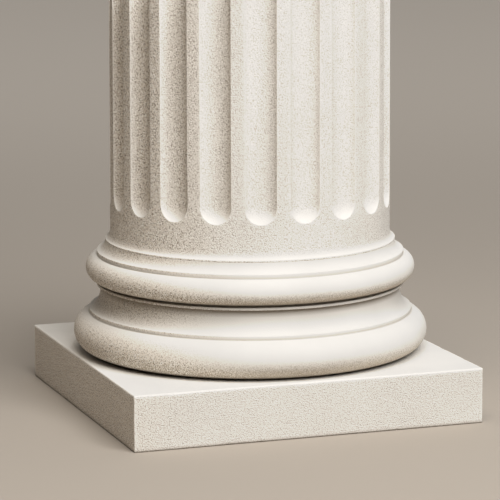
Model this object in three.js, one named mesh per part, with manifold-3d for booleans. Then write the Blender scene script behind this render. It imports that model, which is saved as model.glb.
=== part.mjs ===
// Foot of a fluted stone column: a square plinth, a round base of two tori around a scotia,
// and the lowest length of the shaft, cut flat above.
// Millimetres, +Z up. The origin is the middle of the plinth's underside, and -Y is its front.

import * as THREE from "three";
import * as BufferGeometryUtils from "three/addons/utils/BufferGeometryUtils.js";
import Module from "manifold-3d";

// Plinth. Its sides are flush with the lower torus.
const plinthHeight = 58.5;
const plinthArris = 1; // the eased edge all round

// Base, upwards from the plinth. A reach is the largest radius of a torus.
const bedHeight = 1.5; // sunk bed under the lower torus
const lowerTorusHeight = 40.5;
const lowerTorusReach = 190;
const lowerFilletRise = 3.8; // above the top of the lower torus
const lowerFilletRadius = 173.5;
const scotiaHeight = 25.2;
const scotiaRadius = 160.5; // where it is deepest, under the neck fillet
const neckFilletHeight = 2.8;
const neckFilletRadius = 165;
const quirkHeight = 2.5; // sunk line under the upper torus
const quirkRadius = 159.5;
const upperTorusHeight = 27.2;
const upperTorusReach = 176.5;
const upperFilletRise = 4.6; // above the top of the upper torus
const upperFilletRadius = 164.5;
const coveHeight = 10.9;

// Shaft, upwards from the base
const shaftFilletHeight = 2;
const shaftFilletRadius = 155.5;
const flareHeight = 9;
const shaftRadius = 150; // at the top of the flare
const shaftLength = 270.5; // from its bed to the flat cut
const shaftTaper = 0.0034; // radius lost for each unit of height

// Flutes
const fluteCount = 20;
const fluteWidth = 32.5; // between its two arrises
const fluteDepth = 9.5;
const fluteStart = 38; // from the shaft's bed to the lowest point of a flute
const fluteTurn = 3; // degrees from the plinth's front to the middle of a flute, towards +X

// Facets
const baseSides = 64;
const sidesPerFlute = 4;
const cutterSides = 22;
const cutterRings = 5;
const torusSteps = 10;
const hollowSteps = 5;

const baseHeight =
  bedHeight + lowerTorusHeight + lowerFilletRise + scotiaHeight + neckFilletHeight +
  quirkHeight + upperTorusHeight + upperFilletRise + coveHeight;

const wasm = await Module();
wasm.setup();

function stone(color) {
  return new THREE.MeshStandardMaterial({ color, roughness: 0.85, metalness: 0 });
}

// An elliptic arc about a centre, between two angles in degrees.
function arc(centreX, centreY, radiusX, radiusY, from, to, steps) {
  const points = [];
  for (let i = 0; i <= steps; i += 1) {
    const angle = THREE.MathUtils.degToRad(from + ((to - from) * i) / steps);
    points.push(new THREE.Vector2(centreX + radiusX * Math.cos(angle), centreY + radiusY * Math.sin(angle)));
  }
  return points;
}

// A half-round moulding, from its lowest point up to where the fillet above it stands.
function torus(bottom, height, reach, filletRadius) {
  const radius = height / 2;
  const centre = reach - radius;
  const offset = THREE.MathUtils.clamp((filletRadius - centre) / radius, 0, 1);
  const end = THREE.MathUtils.radToDeg(Math.acos(offset));
  return arc(centre, bottom + radius, radius, radius, -90, end, torusSteps);
}

// A hollow that leaves its outer rim flat and ends upright at its inner radius.
function hollow(bottom, height, outerRadius, innerRadius) {
  const top = bottom + height;
  return arc(outerRadius, top, outerRadius - innerRadius, height, -90, -180, hollowSteps);
}

// Keeps the positions alone, shared where faces meet, and drops faces without area.
function weld(geometry) {
  const bare = geometry.clone();
  bare.deleteAttribute("normal");
  bare.deleteAttribute("uv");
  const merged = BufferGeometryUtils.mergeVertices(bare, 1e-4);
  const corners = merged.index.array;
  const kept = [];
  for (let i = 0; i + 2 < corners.length; i += 3) {
    const [a, b, c] = [corners[i], corners[i + 1], corners[i + 2]];
    if (a !== b && b !== c && c !== a) {
      kept.push(a, b, c);
    }
  }
  merged.setIndex(kept);
  merged.computeVertexNormals();
  return merged;
}

// Turns a profile about the vertical axis. Both of its ends are closed flat to the axis.
function turn(profile, sides) {
  const bottom = profile[0].y;
  const top = profile[profile.length - 1].y;
  const closed = [new THREE.Vector2(0, bottom), ...profile, new THREE.Vector2(0, top)];
  return weld(new THREE.LatheGeometry(closed, sides).rotateX(Math.PI / 2));
}

function toManifold(geometry) {
  const vertProperties = new Float32Array(geometry.attributes.position.array);
  const triVerts = new Uint32Array(geometry.index.array);
  return new wasm.Manifold(new wasm.Mesh({ numProp: 3, vertProperties, triVerts }));
}

function toGeometry(manifold) {
  const { vertProperties, triVerts } = manifold.getMesh();
  const geometry = new THREE.BufferGeometry();
  geometry.setAttribute("position", new THREE.BufferAttribute(vertProperties, 3));
  geometry.setIndex(new THREE.BufferAttribute(triVerts, 1));
  geometry.computeVertexNormals();
  return geometry;
}

function plinthGeometry() {
  const half = lowerTorusReach - plinthArris;
  const square = new THREE.Shape();
  square.moveTo(-half, -half);
  square.lineTo(half, -half);
  square.lineTo(half, half);
  square.lineTo(-half, half);
  square.closePath();
  const slab = new THREE.ExtrudeGeometry(square, {
    depth: plinthHeight - 2 * plinthArris,
    bevelThickness: plinthArris,
    bevelSize: plinthArris,
    bevelSegments: 1,
  });
  slab.translate(0, 0, plinthArris);
  return weld(slab);
}

// The base stands on height 0 of its own and ends at baseHeight.
function baseGeometry() {
  const lowerTorus = torus(bedHeight, lowerTorusHeight, lowerTorusReach, lowerFilletRadius);
  const lowerRim = bedHeight + lowerTorusHeight + lowerFilletRise;
  const scotia = hollow(lowerRim, scotiaHeight, lowerFilletRadius, scotiaRadius);
  const neckBottom = lowerRim + scotiaHeight;
  const neckTop = neckBottom + neckFilletHeight;
  const upperTorusBottom = neckTop + quirkHeight;
  const upperTorus = torus(upperTorusBottom, upperTorusHeight, upperTorusReach, upperFilletRadius);
  const upperRim = upperTorusBottom + upperTorusHeight + upperFilletRise;
  const cove = hollow(upperRim, coveHeight, upperFilletRadius, shaftFilletRadius);
  const profile = [
    new THREE.Vector2(lowerTorus[0].x, 0),
    ...lowerTorus,
    ...scotia,
    new THREE.Vector2(neckFilletRadius, neckBottom),
    new THREE.Vector2(neckFilletRadius, neckTop),
    new THREE.Vector2(quirkRadius, neckTop),
    new THREE.Vector2(quirkRadius, upperTorusBottom),
    ...upperTorus,
    ...cove,
  ];
  return turn(profile, baseSides);
}

// The shaft before its flutes are cut, standing on height 0 of its own.
function shaftBlank() {
  const flareTop = shaftFilletHeight + flareHeight;
  const flare = hollow(shaftFilletHeight, flareHeight, shaftFilletRadius, shaftRadius);
  const topRadius = shaftRadius - shaftTaper * (shaftLength - flareTop);
  const profile = [
    new THREE.Vector2(shaftFilletRadius, 0),
    ...flare,
    new THREE.Vector2(topRadius, shaftLength),
  ];
  return turn(profile, fluteCount * sidesPerFlute);
}

// What is taken out for one flute: a round bar with a ball end, leaning in with the taper.
function fluteCutter() {
  const halfWidth = fluteWidth / 2;
  const floor = shaftRadius - fluteDepth;
  const inset = Math.sqrt(shaftRadius ** 2 - halfWidth ** 2) - floor;
  const radius = (inset ** 2 + halfWidth ** 2) / (2 * inset);
  const centre = floor + radius;
  const ballHeight = fluteStart + Math.sqrt(radius ** 2 - (centre - shaftRadius) ** 2);
  const end = arc(0, ballHeight, radius, radius, -90, 0, cutterRings).slice(1);
  const profile = [...end, new THREE.Vector2(radius, shaftLength + fluteWidth)];
  const tip = new THREE.Vector2(0, ballHeight - radius);
  const bar = weld(
    new THREE.LatheGeometry([tip, ...profile, new THREE.Vector2(0, shaftLength + fluteWidth)], cutterSides)
      .rotateX(Math.PI / 2),
  );
  bar.translate(0, 0, -ballHeight);
  bar.rotateX(-Math.atan(shaftTaper));
  bar.translate(0, -centre, ballHeight);
  return bar;
}

function shaftGeometry() {
  const cutter = fluteCutter();
  let shaft = toManifold(shaftBlank());
  for (let i = 0; i < fluteCount; i += 1) {
    const turned = cutter.clone().rotateZ((2 * Math.PI * i) / fluteCount);
    shaft = shaft.subtract(toManifold(turned));
  }
  return toGeometry(shaft).rotateZ(THREE.MathUtils.degToRad(fluteTurn));
}

function piece(name, geometry, color, bed) {
  const mesh = new THREE.Mesh(geometry, stone(color));
  mesh.name = name;
  mesh.position.z = bed;
  return mesh;
}

const columnBase = new THREE.Group();
columnBase.add(
  piece("plinth", plinthGeometry(), 0xe4dfd4, 0),
  piece("base", baseGeometry(), 0xe8e3d9, plinthHeight),
  piece("shaft", shaftGeometry(), 0xe6e0d5, plinthHeight + baseHeight),
);

export default columnBase;
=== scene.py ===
import math

import bpy
from mathutils import Matrix, Vector


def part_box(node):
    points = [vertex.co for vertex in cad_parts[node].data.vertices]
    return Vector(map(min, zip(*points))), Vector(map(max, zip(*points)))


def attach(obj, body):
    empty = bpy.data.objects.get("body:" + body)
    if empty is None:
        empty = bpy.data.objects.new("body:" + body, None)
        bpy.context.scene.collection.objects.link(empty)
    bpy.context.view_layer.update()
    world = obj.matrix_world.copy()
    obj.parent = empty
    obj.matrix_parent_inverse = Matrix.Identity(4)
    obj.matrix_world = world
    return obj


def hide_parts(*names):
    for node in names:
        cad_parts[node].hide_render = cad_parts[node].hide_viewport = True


# The foot of a fluted stone column, dressed over its solids. Metres, +Z up, -Y is the plinth's front.

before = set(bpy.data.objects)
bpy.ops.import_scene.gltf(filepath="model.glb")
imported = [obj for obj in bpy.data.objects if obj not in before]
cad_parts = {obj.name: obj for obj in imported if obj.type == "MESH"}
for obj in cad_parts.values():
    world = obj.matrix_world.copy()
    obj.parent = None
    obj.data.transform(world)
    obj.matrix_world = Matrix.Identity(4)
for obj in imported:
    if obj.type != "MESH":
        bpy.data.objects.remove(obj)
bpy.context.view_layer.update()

MM = 0.001

# Places that the solids give
plinth_low, plinth_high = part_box("plinth")
BED = plinth_high.z
SHAFT_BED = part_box("base")[1].z
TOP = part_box("shaft")[1].z

# Plinth
PLINTH_EASE = 1.4 * MM  # radius of its eased arrises
PLINTH_RIM = 3 * MM  # how far its arrises are painted pale, as rubbed wear and painted highlight
PLINTH_FOOT_SHADE = 2.5 * MM  # height of the painted shade along its foot
PLINTH_CELLS = (72, 72, 16)

# Base, upwards from the plinth
BED_HEIGHT = 1.5 * MM
LOWER_TORUS_HEIGHT = 40.5 * MM
LOWER_TORUS_REACH = 190 * MM
LOWER_FILLET_RISE = 3.8 * MM
LOWER_FILLET_RADIUS = 173.5 * MM
SCOTIA_HEIGHT = 25.2 * MM
SCOTIA_RADIUS = 160.5 * MM
NECK_FILLET_HEIGHT = 2.8 * MM
NECK_FILLET_RADIUS = 165 * MM
QUIRK_HEIGHT = 2.5 * MM
QUIRK_RADIUS = 159.5 * MM
UPPER_TORUS_HEIGHT = 27.2 * MM
UPPER_TORUS_REACH = 176.5 * MM
UPPER_FILLET_RISE = 4.6 * MM
UPPER_FILLET_RADIUS = 164.5 * MM
MOULDING_EASE = 0.6 * MM
BASE_SIDES = 288

# Painted shade on the base, in its creases and sunk lines and under its mouldings. Each reach is how far it
# thins to none.
BED_SHADE_REACH = 6 * MM  # painted shade under a torus, upwards from its lowest point
NECK_SHADOW_REACH = 8 * MM  # painted shadow under the neck fillet, downwards from it
CREASE_SHADE = 0.5  # painted shade where a torus meets the fillet above it
# painted shade in the quirk above the neck fillet
QUIRK_SHADE = 0.5

# Shaft, upwards from the base
SHAFT_FILLET_HEIGHT = 2 * MM
SHAFT_FILLET_RADIUS = 155.5 * MM
FLARE_HEIGHT = 9 * MM
SHAFT_RADIUS = 150 * MM
SHAFT_TAPER = 0.0034
FLUTES = 20
FLUTE_WIDTH = 32.5 * MM
FLUTE_DEPTH = 9.5 * MM
FLUTE_START = 38 * MM
FLUTE_TURN = math.radians(3)
FLUTE_FULLNESS = 0.75  # below 1 a flute's sides are steeper at its arrises than the round bar's
ARRIS_EASE = 0.35 * MM
CUT_EASE = 0.8 * MM  # how far the edge of the flat cut is eased

# Grid of the shaft: its columns, and its rows measured from where they crowd together
COLUMNS_IN_FLUTE = 18
COLUMNS_ON_FILLET = 8
ROWS_BELOW_FLUTE = (14, 8, 4.5, 2.5, 1.3, 0.6, 0.25)  # mm under its lowest point
ROWS_IN_BALL = 18
ROW_STEP = 9 * MM
ROWS_UNDER_CUT = (2, 0.9, 0.4, 0.15)  # mm under the flat cut
ROWS_ON_CUT = 10

# Wear. Each scale is in waves for a metre, about.
WAVE_SCALE = 16.0
CHIP_SCALE = 130.0
PLINTH_EASE_SCALE = 60.0
ARRIS_EASE_SCALE = 90.0

# Stone
STONE = (0.76, 0.735, 0.69)
GRAIN_SCALE = 800.0
SPECK_SCALE = 880.0
CLOUD_SCALE = 14.0
RELIEF = 1.3 * MM  # depth of the rough grain
SLOPE_SPAN = 0.6  # a face goes from rough to rubbed as its normal rises by this much
GRAIN_BROWN = (0.2, 0.132, 0.075, 1.0)
# Colour of the painted shade in sunk lines and creases and under the mouldings
PAINTED_SHADE_BROWN = (0.16, 0.12, 0.08, 1.0)
# painted shade on the side turned from the key light
SHADED_SIDE_TINT = (1.08, 1.0, 0.9)
# painted shade under downward faces
UNDERSIDE_SHADE_TINT = (0.76, 0.7, 0.61)
SHADED_SIDE = (-0.9, 0.0, -0.44)  # the side turned from the key light, painted warmer and more grainy as painted shade

# Camera, from the photograph: the middle of its view is level with the upper torus
CAMERA_RANGE = 3.0
CAMERA_HEIGHT = 0.694
CAMERA_TURN = math.radians(19.4)
CAMERA_PITCH = math.radians(10.03)
CAMERA_ROLL = math.radians(-0.15)
CAMERA_LENS = 204.05
SENSOR = 36

# Studio
FLOOR_REACH = 12
FLOOR_COLOR = (0.4, 0.355, 0.305, 1.0)
LIGHT_AIM = 0.2  # height on the column that the lights are aimed at
BACKDROP_DISTANCE = 5.2  # behind the column
BACKDROP_HEIGHT = 1.3
AMBIENT_COLOR = (1.0, 0.95, 0.88, 1.0)
AMBIENT = 0.01
SHOULDER = (0.7, 0.7)  # tones above this are drawn together, up to WHITE
WHITE = 0.87


class Wire:
    """A socket of a node tree. Python's arithmetic on it adds Math nodes to the tree."""

    def __init__(self, tree, socket=None):
        self.tree = tree
        self.socket = socket

    def node(self, kind, settings=None, inputs=None, output=0):
        """Adds a node. Its settings come first, then the values or links of its sockets."""
        made = self.tree.nodes.new(kind)
        for name, value in (settings or {}).items():
            setattr(made, name, value)
        for name, value in (inputs or {}).items():
            if isinstance(value, Wire):
                self.tree.links.new(value.socket, made.inputs[name])
            else:
                made.inputs[name].default_value = value
        return Wire(self.tree, made.outputs[output])

    def other(self, output):
        """Another output of the node that this socket belongs to."""
        return Wire(self.tree, self.socket.node.outputs[output])

    def math(self, operation, *values):
        return self.node("ShaderNodeMath", {"operation": operation}, dict(enumerate((self, *values))))

    def clamped(self, low=0.0, high=1.0):
        return self.math("MAXIMUM", low).math("MINIMUM", high)

    def ramp(self, low, high):
        """0 below low, 1 above high, and smooth between."""
        settings = {"interpolation_type": "SMOOTHSTEP"}
        return self.node("ShaderNodeMapRange", settings, {"Value": self, "From Min": low, "From Max": high})

    def __add__(self, value):
        return self.math("ADD", value)

    __radd__ = __add__

    def __sub__(self, value):
        return self.math("SUBTRACT", value)

    def __rsub__(self, value):
        return self.node("ShaderNodeMath", {"operation": "SUBTRACT"}, {0: value, 1: self})

    def __mul__(self, value):
        return self.math("MULTIPLY", value)

    __rmul__ = __mul__

    def __truediv__(self, value):
        return self.math("DIVIDE", value)

    def __pow__(self, value):
        return self.math("POWER", value)

    def __lt__(self, value):
        return self.math("LESS_THAN", value)

    def __gt__(self, value):
        return self.math("GREATER_THAN", value)


# Profiles. Each point is (radius, height, rim, painted shade): rim is 1 on an arris, painted shade is 1 in a
# sunk line.


def arc(centre, radii, start, end, steps):
    """Points of an elliptic arc about a centre, between two angles in degrees."""
    points = []
    for i in range(steps + 1):
        angle = math.radians(start + (end - start) * i / steps)
        points.append((centre[0] + radii[0] * math.cos(angle), centre[1] + radii[1] * math.sin(angle), 0, 0))
    return points


def torus(bottom, height, reach, fillet_radius, steps=44):
    """A half-round moulding, from its lowest point to the face of the fillet above it."""
    radius = height / 2
    centre = reach - radius
    end = math.degrees(math.acos((fillet_radius - centre) / radius))
    points = arc((centre, bottom + radius), (radius, radius), -90, end, steps)
    # Painted shade under the torus, thinning upwards from its lowest point, and some where it meets the
    # fillet above.
    with_painted_shade = [(x, z, 0, max(0, 1 - (z - bottom) / BED_SHADE_REACH) ** 2) for x, z, _, _ in points]
    return [*with_painted_shade[:-1], (*points[-1][:2], 0, CREASE_SHADE)]


def hollow(bottom, height, outer, inner, steps=16):
    """A hollow that leaves its outer rim flat and ends upright at its inner radius."""
    return arc((outer, bottom + height), (outer - inner, height), -90, -180, steps)


def shade_below(points, top, reach):
    """The same points with painted shade up to a height, thinning to none over a reach below it."""
    return [(x, z, rim, max(0, 1 - (top - z) / reach)) for x, z, rim, _ in points]


def eased(points, size, sharp=30, steps=4):
    """Rounds each corner that turns by more than sharp degrees, and marks it as a rim if it stands out."""
    made = [points[0]]
    for before, corner, after in zip(points, points[1:], points[2:]):
        ahead = Vector((after[0] - corner[0], after[1] - corner[1]))
        behind = Vector((before[0] - corner[0], before[1] - corner[1]))
        turn = 180 - math.degrees(ahead.angle(behind))
        if turn < sharp:
            made.append(corner)
            continue
        reach = min(size, 0.45 * ahead.length, 0.45 * behind.length)
        start = Vector(corner[:2]) + behind.normalized() * reach
        end = Vector(corner[:2]) + ahead.normalized() * reach
        stands_out = behind.x * ahead.y - behind.y * ahead.x > 0
        for i in range(steps + 1):
            t = i / steps
            place = start * (1 - t) ** 2 + Vector(corner[:2]) * 2 * t * (1 - t) + end * t**2
            made.append((place.x, place.y, float(stands_out), corner[3]))
    made.append(points[-1])
    return made


def line_mesh(name, points, origin):
    """A row of joined vertices at (radius, 0, height above origin), with its rim and painted shade as
    attributes.
    """
    mesh = bpy.data.meshes.new(name)
    places = [(x, 0, origin + z) for x, z, _, _ in points]
    mesh.from_pydata(places, [(i, i + 1) for i in range(len(places) - 1)], [])
    for place, attribute in ((2, "rim"), (3, "painted_shade")):
        layer = mesh.attributes.new(attribute, "FLOAT", "POINT")
        layer.data.foreach_set("value", [float(p[place]) for p in points])
    return mesh


def base_profile():
    """The base from the middle of its bed to the middle of its top."""
    lower_rim = BED_HEIGHT + LOWER_TORUS_HEIGHT + LOWER_FILLET_RISE
    neck = lower_rim + SCOTIA_HEIGHT
    quirk = neck + NECK_FILLET_HEIGHT
    upper_torus = quirk + QUIRK_HEIGHT
    upper_rim = upper_torus + UPPER_TORUS_HEIGHT + UPPER_FILLET_RISE
    top = SHAFT_BED - BED
    bed_radius = LOWER_TORUS_REACH - LOWER_TORUS_HEIGHT / 2
    scotia = hollow(lower_rim, SCOTIA_HEIGHT, LOWER_FILLET_RADIUS, SCOTIA_RADIUS, 24)
    # The last value of each point is painted shade: at the bed, under each torus, in the crease above it,
    # under the neck fillet and in the quirk.
    mouldings = [
        (bed_radius, 0, 0, 1),
        *torus(BED_HEIGHT, LOWER_TORUS_HEIGHT, LOWER_TORUS_REACH, LOWER_FILLET_RADIUS),
        *shade_below(scotia, neck, NECK_SHADOW_REACH),
        (NECK_FILLET_RADIUS, neck, 0, 0),
        (NECK_FILLET_RADIUS, quirk, 0, 0),
        (QUIRK_RADIUS, quirk, 0, QUIRK_SHADE),
        (QUIRK_RADIUS, upper_torus, 0, QUIRK_SHADE),
        *torus(upper_torus, UPPER_TORUS_HEIGHT, UPPER_TORUS_REACH, UPPER_FILLET_RADIUS),
        *hollow(upper_rim, top - upper_rim, UPPER_FILLET_RADIUS, SHAFT_FILLET_RADIUS),
    ]
    end = (SHAFT_FILLET_RADIUS - MM, top, 0, 0)
    return [(0, 0, 0, 1), *eased([*mouldings, end], MOULDING_EASE), (0, top, 0, 0)]


def flute_sizes():
    """The round bar that fits a flute: its radius, its distance from the axis and its ball end's height."""
    half = FLUTE_WIDTH / 2
    floor = SHAFT_RADIUS - FLUTE_DEPTH
    inset = math.sqrt(SHAFT_RADIUS**2 - half**2) - floor
    radius = (inset**2 + half**2) / (2 * inset)
    centre = floor + radius
    reach = math.sqrt(radius**2 - (centre - SHAFT_RADIUS) ** 2)
    return radius, centre, FLUTE_START + reach


def shaft_profile():
    """The shaft without its flutes, with rows closer together where a flute ends."""
    _, _, ball = flute_sizes()
    length = TOP - SHAFT_BED
    flare_top = SHAFT_FILLET_HEIGHT + FLARE_HEIGHT
    foot = [
        (SHAFT_FILLET_RADIUS - MM, 0, 0, 0),
        (SHAFT_FILLET_RADIUS, 0, 0, 0),
        *hollow(SHAFT_FILLET_HEIGHT, FLARE_HEIGHT, SHAFT_FILLET_RADIUS, SHAFT_RADIUS, 12),
    ]
    reach = ball - FLUTE_START
    below = [FLUTE_START - gap * MM for gap in ROWS_BELOW_FLUTE]
    ends = [ball - reach * math.cos(math.pi / 2 * i / ROWS_IN_BALL) for i in range(ROWS_IN_BALL + 1)]
    rows = round((length - ball) / ROW_STEP)
    above = [ball + (length - ball) * i / rows for i in range(1, rows)]
    top = [length - gap * MM for gap in ROWS_UNDER_CUT]
    walls = [(SHAFT_RADIUS - SHAFT_TAPER * (z - flare_top), z, 0, 0) for z in [*below, *ends, *above, *top]]
    rim = walls[-1][0]
    edge = [(rim - 0.35 * MM, length - 0.03 * MM, 1, 0), (rim - CUT_EASE, length, 0, 0)]
    cut = [(rim * i / ROWS_ON_CUT, length, 0, 0) for i in range(ROWS_ON_CUT - 1, -1, -1)]
    return [(0, 0, 0, 0), *eased(foot, MOULDING_EASE), *walls, *edge, *cut]


# Shapes made by Geometry Nodes


def new_tree(name, sizes):
    """A tree with a geometry input, an input for each size and for the stone, and one geometry output."""
    tree = bpy.data.node_groups.new(name, "GeometryNodeTree")
    tree.interface.new_socket("Profile", in_out="INPUT", socket_type="NodeSocketGeometry")
    for size, value in sizes.items():
        kind = "NodeSocketInt" if isinstance(value, int) else "NodeSocketFloat"
        tree.interface.new_socket(size, in_out="INPUT", socket_type=kind)
    tree.interface.new_socket("Stone", in_out="INPUT", socket_type="NodeSocketMaterial")
    tree.interface.new_socket("Piece", in_out="OUTPUT", socket_type="NodeSocketGeometry")
    start = tree.nodes.new("NodeGroupInput")
    return Wire(tree), {socket.name: Wire(tree, socket) for socket in start.outputs if socket.name}


def seen(tree, name):
    """A point attribute by its name."""
    return tree.node("GeometryNodeInputNamedAttribute", {"data_type": "FLOAT"}, {"Name": name})


def stored(shape, name, value):
    inputs = {"Geometry": shape, "Name": name, "Value": value}
    return shape.node("GeometryNodeStoreNamedAttribute", {"data_type": "FLOAT", "domain": "POINT"}, inputs)


def noise(tree, place, scale, seed, detail=2.0):
    inputs = {"Vector": place, "W": seed, "Scale": scale, "Detail": detail}
    return tree.node("ShaderNodeTexNoise", {"noise_dimensions": "4D"}, inputs)


def vector(tree, x, y, z):
    return tree.node("ShaderNodeCombineXYZ", inputs={0: x, 1: y, 2: z})


def vector_math(operation, *values, **named):
    inputs = dict(enumerate(values))
    inputs.update(named)
    return values[0].node("ShaderNodeVectorMath", {"operation": operation}, inputs)


def rows_of(tree, profile, columns):
    """A grid with a row of points for each point of the profile, and what each point reads from its row."""
    rows = tree.node("GeometryNodeAttributeDomainSize", {"component": "MESH"}, {"Geometry": profile})
    grid = tree.node("GeometryNodeMeshGrid", inputs={"Vertices X": rows, "Vertices Y": columns + 1})
    index = tree.node("GeometryNodeInputIndex")
    row = ((index + 0.5) / (columns + 1)).math("FLOOR")
    column = index - row * (columns + 1)

    def read(value, kind):
        inputs = {"Geometry": profile, "Value": value, "Index": row}
        return tree.node("GeometryNodeSampleIndex", {"data_type": kind, "domain": "POINT"}, inputs)

    place = read(tree.node("GeometryNodeInputPosition"), "FLOAT_VECTOR")
    radius = tree.node("ShaderNodeSeparateXYZ", inputs={0: place})
    rim = read(seen(tree, "rim"), "FLOAT")
    painted_shade = read(seen(tree, "painted_shade"), "FLOAT")
    return grid, column, radius, radius.other(2), rim, painted_shade


def turned(tree, grid, radius, angle, height):
    """The grid bent round the axis and closed, with angle 0 on the front."""
    place = vector(tree, radius * angle.math("SINE") * -1, radius * angle.math("COSINE") * -1, height)
    bent = tree.node("GeometryNodeSetPosition", inputs={"Geometry": grid, "Position": place})
    return tree.node("GeometryNodeMergeByDistance", inputs={"Geometry": bent, "Distance": 0.01 * MM})


def finished(tree, shape, sizes):
    """Waves the faces a little, chips the rims, and gives the piece its stone."""
    place = tree.node("GeometryNodeInputPosition")
    wave = noise(tree, place, WAVE_SCALE, sizes["Seed"])
    chip = noise(tree, place, CHIP_SCALE, sizes["Seed"], 3.0).ramp(0.56, 0.78) * seen(tree, "rim")
    depth = wave * sizes["Wave"] + chip * sizes["Chip"]
    normal = tree.node("GeometryNodeInputNormal")
    offset = vector_math("SCALE", normal, Scale=depth * -1)
    worn = tree.node("GeometryNodeSetPosition", inputs={"Geometry": shape, "Offset": offset})
    smooth = tree.node("GeometryNodeSetShadeSmooth", inputs={0: worn})
    real = tree.node("GeometryNodeRealizeInstances", inputs={0: smooth})
    dressed = tree.node("GeometryNodeSetMaterial", inputs={"Geometry": real, "Material": sizes["Stone"]})
    end = tree.tree.nodes.new("NodeGroupOutput")
    tree.tree.links.new(dressed.socket, end.inputs[0])


def turned_tree(sizes):
    """Turns a profile about the vertical axis."""
    tree, size = new_tree("turned stone", sizes)
    grid, column, radius, height, rim, painted_shade = rows_of(tree, size["Profile"], size["Sides"])
    angle = column * (2 * math.pi) / size["Sides"]
    shape = stored(stored(grid, "rim", rim), "painted_shade", painted_shade)
    finished(tree, turned(tree, shape, radius, angle, height), size)
    return tree.tree


def fluted_tree(sizes):
    """Turns a profile and sinks ball-ended flutes into it. Columns of the grid follow the flutes' arrises.

    Every column belongs to a flute and the fillet beside it, and local is its angle from the flute's middle.
    """
    tree, size = new_tree("fluted stone", sizes)
    in_flute = size["Columns in Flute"]
    on_fillet = size["Columns on Fillet"]
    each = in_flute + on_fillet
    pitch = (size["Flutes"] + 0).math("POWER", -1) * (2 * math.pi)
    grid, column, radius, height, rim, painted_shade = rows_of(tree, size["Profile"], each * size["Flutes"])
    flute = ((column + 0.5) / each).math("FLOOR")
    step = column - flute * each

    bar = size["Bar Radius"]
    wall = size["Wall Radius"] - size["Taper"] * (height - size["Wall Start"])
    middle = wall + (size["Bar Distance"] - size["Wall Radius"])
    drop = (size["Ball Height"] - height).math("MAXIMUM", 0)
    cosine = (wall**2 + middle**2 - bar**2 + drop**2) / (wall * middle * 2)
    half = cosine.clamped(-1, 1).math("ARCCOSINE")
    across = half * ((step / in_flute * 2 - 1) * (math.pi / 2)).math("SINE")
    part = ((step - in_flute) / on_fillet * math.pi).math("COSINE") * -0.5 + 0.5
    beside = half + (pitch - half * 2) * part
    inside = step < in_flute + 0.5
    local = inside * across + (1 - inside) * beside
    angle = flute * pitch + local - size["Turn"]

    hidden = (bar**2 - drop**2 - middle**2 * local.math("SINE") ** 2).math("MAXIMUM", 0)
    floor = wall - middle * local.math("COSINE") + hidden.math("SQRT")
    near = local.math("ABSOLUTE")
    nearest = near.math("MINIMUM", pitch - near)
    away = ((wall * nearest) ** 2 + (drop * size["Roundness"]) ** 2).math("SQRT") - size["Half Width"]
    cut = inside * (half > 0.001)
    scoop = (floor.math("MAXIMUM", 0) / size["Depth"]) ** size["Fullness"] * size["Depth"]
    depth = cut * scoop - (1 - cut) * away * size["Steepness"]
    place = vector(tree, wall * angle.math("SINE") * -1, wall * angle.math("COSINE") * -1, height)
    worn = noise(tree, place, ARRIS_EASE_SCALE, size["Seed"], 3.0).ramp(0.5, 0.8)
    ease = size["Ease"] * (worn * 1.6 + 0.7)
    sink = (depth + (depth**2 + ease**2).math("SQRT")) * 0.5
    arris = ease**2 * 2.5 / (depth**2 + ease**2 * 2.5) * (radius > wall - 0.5 * MM)
    shape = stored(stored(grid, "rim", arris.math("MAXIMUM", rim)), "painted_shade", painted_shade)
    finished(tree, turned(tree, shape, radius - sink * (radius > MM), angle, height), size)
    return tree.tree


def slab_tree(sizes):
    """A square slab with eased and chipped arrises, its cells closer together towards them."""
    tree, size = new_tree("slab", sizes)
    cells = {f"Vertices {axis}": count + 1 for axis, count in zip("XYZ", PLINTH_CELLS)}
    block = tree.node("GeometryNodeMeshCube", inputs={"Size": (2, 2, 2), **cells})
    flat = tree.node("ShaderNodeSeparateXYZ", inputs={0: tree.node("GeometryNodeInputPosition")})
    half = [size["Width"] * 0.5, size["Width"] * 0.5, size["Height"] * 0.5]
    even = (flat, flat.other(1), flat.other(2))
    spread = [u.math("SIGN") * (1 - (1 - u.math("ABSOLUTE")) ** 2) for u in even]
    outer = [u * h for u, h in zip(spread, half)]
    worn = noise(tree, vector(tree, *outer), PLINTH_EASE_SCALE, size["Seed"], 3.0).ramp(0.5, 0.8)
    ease = size["Ease"] * (worn * 1.4 + 0.75)
    inner = [p.math("MINIMUM", h - ease).math("MAXIMUM", ease - h) for p, h in zip(outer, half)]
    away = vector_math("NORMALIZE", vector(tree, *[p - q for p, q in zip(outer, inner)]))
    place = vector_math("ADD", vector(tree, *inner), vector_math("SCALE", away, Scale=ease))
    lifted = vector_math("ADD", place, vector(tree, 0.0, 0.0, half[2]))
    closeness = [((p.math("ABSOLUTE") - h) / PLINTH_RIM + 1).clamped() for p, h in zip(outer, half)]
    rim = (closeness[0] + closeness[1] + closeness[2] - 1).clamped()
    # Painted shade along the foot, where the plinth meets the floor.
    foot = (1 - (outer[2] + half[2]) / PLINTH_FOOT_SHADE).clamped()
    shape = stored(stored(block, "rim", rim * (1 - foot)), "painted_shade", foot)
    moved = tree.node("GeometryNodeSetPosition", inputs={"Geometry": shape, "Position": lifted})
    finished(tree, moved, size)
    return tree.tree


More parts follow.
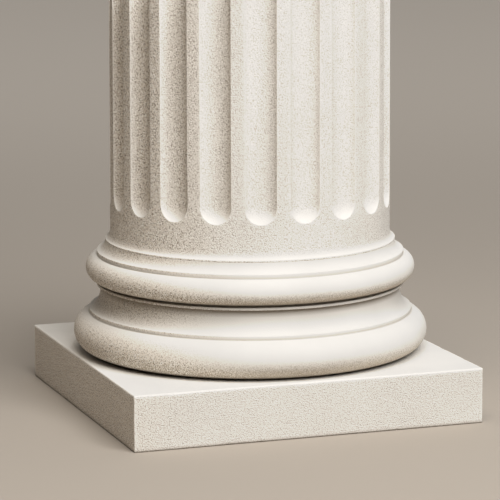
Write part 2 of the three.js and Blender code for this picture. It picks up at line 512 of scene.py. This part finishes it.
def make_piece(name, profile, grow, sizes, material):
    """Runs a tree on a profile and keeps the plain mesh that it gives."""
    piece = bpy.data.objects.new(name, profile)
    bpy.context.collection.objects.link(piece)
    shaper = piece.modifiers.new("shape", "NODES")
    shaper.node_group = grow(sizes)
    values = {**sizes, "Stone": material}
    for item in shaper.node_group.interface.items_tree:
        if item.in_out == "INPUT" and item.name in values:
            shaper[item.identifier] = values[item.name]
    graph = bpy.context.evaluated_depsgraph_get()
    made = bpy.data.meshes.new_from_object(piece.evaluated_get(graph), depsgraph=graph)
    piece.modifiers.clear()
    piece.data = made
    made.name = name
    made.set_sharp_from_angle(angle=math.radians(50))
    return piece


# Stone


def stone(name, seed, coarse, smooth_from):
    """Limestone with brown grains, and painted shade: a warmer tint and more grain on the side turned from
    the key light, a darker tint under downward faces, and a brown in sunk lines, creases and under the
    mouldings. Its arrises are paler, as rubbed wear and painted highlight.

    It is rubbed smooth where its faces lean back by more than smooth_from, the height of their normal,
    and coarse gives the strength of the grain's relief elsewhere.
    """
    material = bpy.data.materials.new(name)
    material.use_nodes = True
    tree = Wire(material.node_tree)
    material.node_tree.nodes.clear()
    place = tree.node("ShaderNodeTexCoord", output=3)
    facing = tree.node("ShaderNodeTexCoord", output=1)
    turned_away = vector_math("DOT_PRODUCT", facing, SHADED_SIDE).other(1)
    aside = tree.node("ShaderNodeSeparateXYZ", inputs={0: place}) / -LOWER_TORUS_REACH
    # How far a face is on the side turned from the key light, where shade is painted
    shade_side_mask = (turned_away * 0.5 + aside * 0.5).ramp(0.3, 0.95)
    upward = tree.node("ShaderNodeSeparateXYZ", inputs={0: facing}).other(2)
    level = upward.ramp(smooth_from - SLOPE_SPAN, smooth_from)
    # How far a face looks down, where a darker tint is painted as shade
    underside_shade = (0 - upward).ramp(0.0, 0.8)
    grain = noise(tree, place, GRAIN_SCALE, seed, 1.0)
    speck = noise(tree, place, SPECK_SCALE, seed + 7.0, 1.0)
    cloud = noise(tree, place, CLOUD_SCALE, seed, 4.0)
    rim = tree.node("ShaderNodeAttribute", {"attribute_name": "rim"}, output=2)
    painted_shade = tree.node("ShaderNodeAttribute", {"attribute_name": "painted_shade"}, output=2)

    def mixed(first, second, amount):
        """The colour sockets of a Mix node are its inputs 6 and 7 and its output 2."""
        return tree.node("ShaderNodeMix", {"data_type": "RGBA"}, {0: amount, 6: first, 7: second}, output=2)

    def shade(factor, tint=(1.0, 1.0, 1.0)):
        """The stone's colour, lighter or darker by a factor and tinted."""
        return tuple(c * t * factor for c, t in zip(STONE, tint)) + (1.0,)

    fresh = mixed(shade(0.96), shade(1.04), cloud.ramp(0.3, 0.7))
    # Painted shade: a warmer tint on the side turned from the key light
    warm = mixed(fresh, shade(1.0, SHADED_SIDE_TINT), shade_side_mask)
    # Painted shade: darker and browner under downward faces
    toned = mixed(warm, shade(1.0, UNDERSIDE_SHADE_TINT), underside_shade)
    # Brown grain and pale specks: the stone's own grain, stronger on the side turned from the key light as
    # painted shade, and on faces that are not level
    dark = (0.46 - grain).ramp(0.0, 0.05) * (shade_side_mask * 0.9 + (1 - level) * 0.38).clamped()
    grained = mixed(toned, GRAIN_BROWN, dark)
    pale = (speck - 0.52).ramp(0.0, 0.045) * (shade_side_mask * 0.9 + (1 - level) * 0.4).clamped()
    speckled = mixed(grained, shade(1.32), pale)
    # Paler arrises and fillets: rubbed wear and a painted highlight
    rubbed_and_highlit = mixed(speckled, shade(1.22), rim * 0.8)
    # Painted shade in sunk lines and creases and under the mouldings.
    with_painted_shade = mixed(rubbed_and_highlit, PAINTED_SHADE_BROWN, painted_shade * 0.9)
    relief = (grain * 0.7 + speck * 0.3) * (1 - level * 0.8) * coarse
    bump = tree.node("ShaderNodeBump", inputs={"Strength": 1.0, "Distance": RELIEF, "Height": relief})
    rough = 0.78 + grain * 0.16 - rim * 0.06
    shader = tree.node(
        "ShaderNodeBsdfPrincipled",
        inputs={"Base Color": with_painted_shade, "Roughness": rough, "Normal": bump, "Specular IOR Level": 0.25},
    )
    end = material.node_tree.nodes.new("ShaderNodeOutputMaterial")
    material.node_tree.links.new(shader.socket, end.inputs[0])
    return material


def make_plinth():
    sizes = {
        "Width": plinth_high.x - plinth_low.x,
        "Height": BED,
        "Ease": PLINTH_EASE,
        "Wave": 0.12 * MM,
        "Chip": 0.3 * MM,
        "Seed": 3.0,
    }
    start = bpy.data.meshes.new("slab start")
    limestone = stone("plinth limestone", seed=3.0, coarse=1.0, smooth_from=0.6)
    slab = make_piece("plinth_slab", start, slab_tree, sizes, limestone)
    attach(slab, "root")
    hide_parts("plinth")


def make_base():
    sizes = {"Sides": BASE_SIDES, "Wave": 0.12 * MM, "Chip": 0.3 * MM, "Seed": 11.0}
    profile = line_mesh("base profile", base_profile(), BED)
    limestone = stone("base limestone", seed=11.0, coarse=0.5, smooth_from=0.15)
    base = make_piece("moulded_base", profile, turned_tree, sizes, limestone)
    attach(base, "root")
    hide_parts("base")


def make_shaft():
    bar, distance, ball = flute_sizes()
    in_shaft = math.asin(FLUTE_WIDTH / 2 / SHAFT_RADIUS)  # angle of half a flute, seen from the axis
    in_bar = math.asin(FLUTE_WIDTH / 2 / bar)  # and from the middle of its bar
    half = SHAFT_RADIUS * in_shaft
    sizes = {
        "Flutes": FLUTES,
        "Columns in Flute": COLUMNS_IN_FLUTE,
        "Columns on Fillet": COLUMNS_ON_FILLET,
        "Turn": FLUTE_TURN,
        "Bar Radius": bar,
        "Bar Distance": distance,
        "Ball Height": SHAFT_BED + ball,
        "Wall Radius": SHAFT_RADIUS,
        "Wall Start": SHAFT_BED + SHAFT_FILLET_HEIGHT + FLARE_HEIGHT,
        "Taper": SHAFT_TAPER,
        "Half Width": half,
        "Depth": FLUTE_DEPTH,
        "Fullness": FLUTE_FULLNESS,
        "Roundness": half / (ball - FLUTE_START),
        "Steepness": math.tan(in_bar - in_shaft),
        "Ease": ARRIS_EASE,
        "Wave": 0.1 * MM,
        "Chip": 0.2 * MM,
        "Seed": 23.0,
    }
    profile = line_mesh("shaft profile", shaft_profile(), SHAFT_BED)
    limestone = stone("shaft limestone", seed=23.0, coarse=1.0, smooth_from=0.6)
    shaft = make_piece("fluted_shaft", profile, fluted_tree, sizes, limestone)
    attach(shaft, "root")
    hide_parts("shaft")


# Floor, lights and camera


def make_floor():
    mesh = bpy.data.meshes.new("floor")
    corners = [(x * FLOOR_REACH, y * FLOOR_REACH, 0) for x, y in ((-1, -1), (1, -1), (1, 1), (-1, 1))]
    mesh.from_pydata(corners, [], [(0, 1, 2, 3)])
    floor = bpy.data.objects.new("floor", mesh)
    bpy.context.collection.objects.link(floor)
    material = bpy.data.materials.new("pale floor")
    material.use_nodes = True
    shader = material.node_tree.nodes["Principled BSDF"]
    shader.inputs["Base Color"].default_value = FLOOR_COLOR
    shader.inputs["Roughness"].default_value = 0.9
    mesh.materials.append(material)


def toward_camera(turn):
    """A level direction from the column, turned to the camera's right by an angle in degrees."""
    angle = math.radians(turn) - CAMERA_TURN
    return Vector((math.sin(angle), -math.cos(angle), 0))


def make_light(name, place, rotation, size, power, color):
    """A rectangular light that shines down its own Z axis."""
    light = bpy.data.lights.new(name, "AREA")
    light.shape = "RECTANGLE"
    light.size, light.size_y = size
    light.energy = power
    light.color = color
    lamp = bpy.data.objects.new(name, light)
    lamp.location = place
    lamp.rotation_euler = rotation
    bpy.context.collection.objects.link(lamp)


def aim_light(name, turn, height, distance, size, power, color):
    """A light aimed at the column, placed by its turn from the camera and its height, both in degrees."""
    rise = math.radians(height)
    away = toward_camera(turn) * math.cos(rise) + Vector((0, 0, math.sin(rise)))
    place = away * distance + Vector((0, 0, LIGHT_AIM))
    make_light(name, place, away.to_track_quat("Z", "Y").to_euler(), size, power, color)


def make_lights():
    aim_light("key light", 31, 48, 3.0, size=(2.0, 2.6), power=115, color=(1.0, 0.99, 0.98))
    aim_light("soft light", -15, 62, 3.0, size=(1.3, 1.3), power=28, color=(1.0, 0.91, 0.8))
    behind = toward_camera(180) * BACKDROP_DISTANCE + Vector((0, 0, BACKDROP_HEIGHT))
    level = (0, 0, -CAMERA_TURN)
    make_light("backdrop light", behind, level, size=(9, 7), power=150, color=(1.0, 1.0, 1.0))


def make_ambient():
    world = bpy.data.worlds.new("studio")
    world.use_nodes = True
    background = world.node_tree.nodes["Background"]
    background.inputs["Color"].default_value = AMBIENT_COLOR
    background.inputs["Strength"].default_value = AMBIENT
    bpy.context.scene.world = world


def set_tones():
    """Draws the brightest tones together, as a soft print does."""
    view = bpy.context.scene.view_settings
    view.view_transform = "Standard"
    view.use_curve_mapping = True
    tones = view.curve_mapping.curves[3]
    tones.points.new(*SHOULDER)
    tones.points[-1].location = (1.0, WHITE)
    for point in tones.points:
        point.handle_type = "VECTOR"
    view.curve_mapping.update()


def make_camera():
    data = bpy.data.cameras.new("camera")
    data.lens = CAMERA_LENS
    data.sensor_width = SENSOR
    camera = bpy.data.objects.new("camera", data)
    place = toward_camera(0) * CAMERA_RANGE + Vector((0, 0, CAMERA_HEIGHT))
    turn = Matrix.Rotation(-CAMERA_TURN, 4, "Z")
    pitch = Matrix.Rotation(math.pi / 2 - CAMERA_PITCH, 4, "X")
    roll = Matrix.Rotation(CAMERA_ROLL, 4, "Z")
    camera.matrix_world = Matrix.Translation(place) @ turn @ pitch @ roll
    bpy.context.collection.objects.link(camera)
    bpy.context.scene.camera = camera


make_camera()
make_lights()
make_ambient()
set_tones()
make_floor()
make_plinth()
make_base()
make_shaft()
